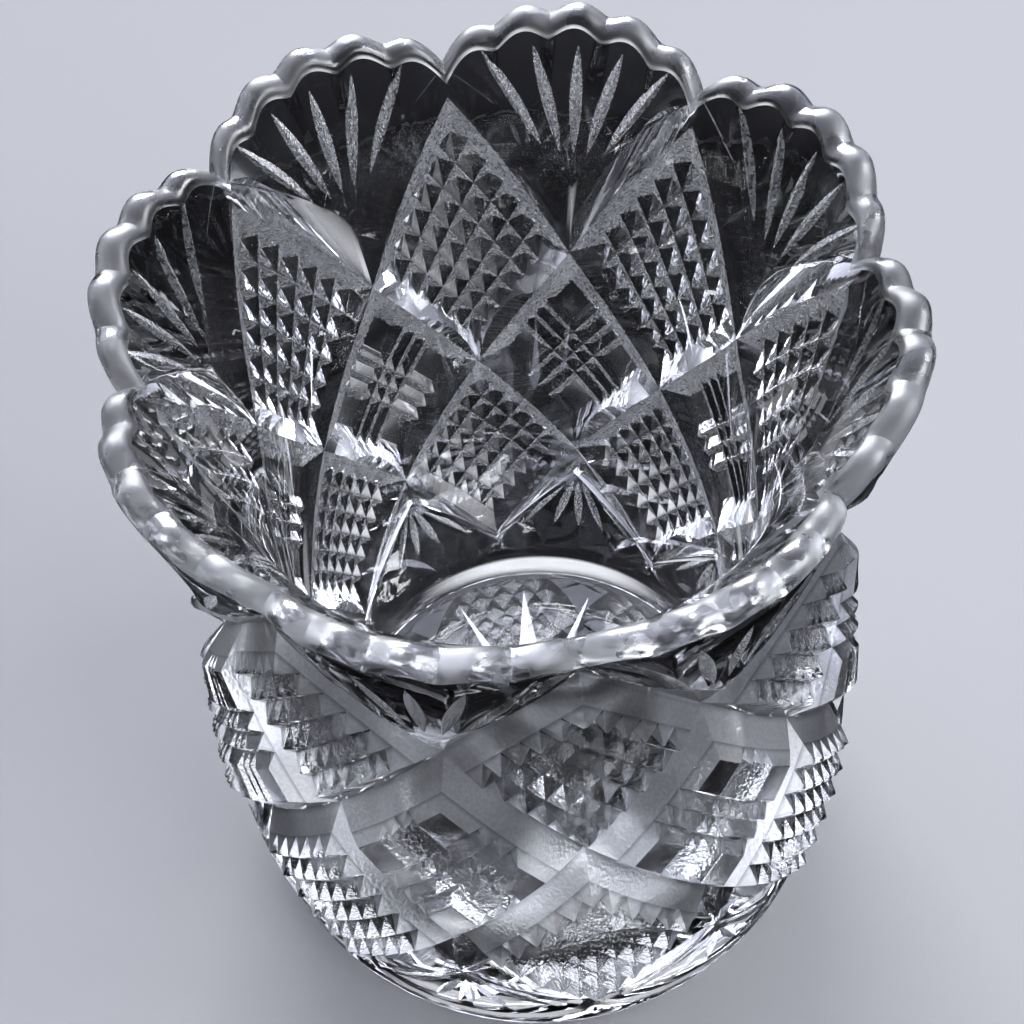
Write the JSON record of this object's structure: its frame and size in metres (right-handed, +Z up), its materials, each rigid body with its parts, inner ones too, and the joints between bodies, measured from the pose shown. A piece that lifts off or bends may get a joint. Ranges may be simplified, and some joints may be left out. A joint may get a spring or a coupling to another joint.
{
  "type": "toothpick holder",
  "caption": "Small clear pressed-glass cup with a flared scalloped rim, moulded diamond and fan relief and a starred foot; it holds toothpicks upright on a table.",
  "frame": {"origin": "centre of the foot, on the table that the standing ring rests on", "axes": "+Z up along the axis of the well; +Y through a notch of the rim, away from the viewer of the picture; +X to the right"},
  "size_m": [0.0506, 0.0506, 0.0639],
  "materials": {
    "clear_glass": "fire-polished clear pressed glass"
  },
  "bodies": {
    "root": {"glass_body": "clear_glass"}
  },
  "joints": []
}
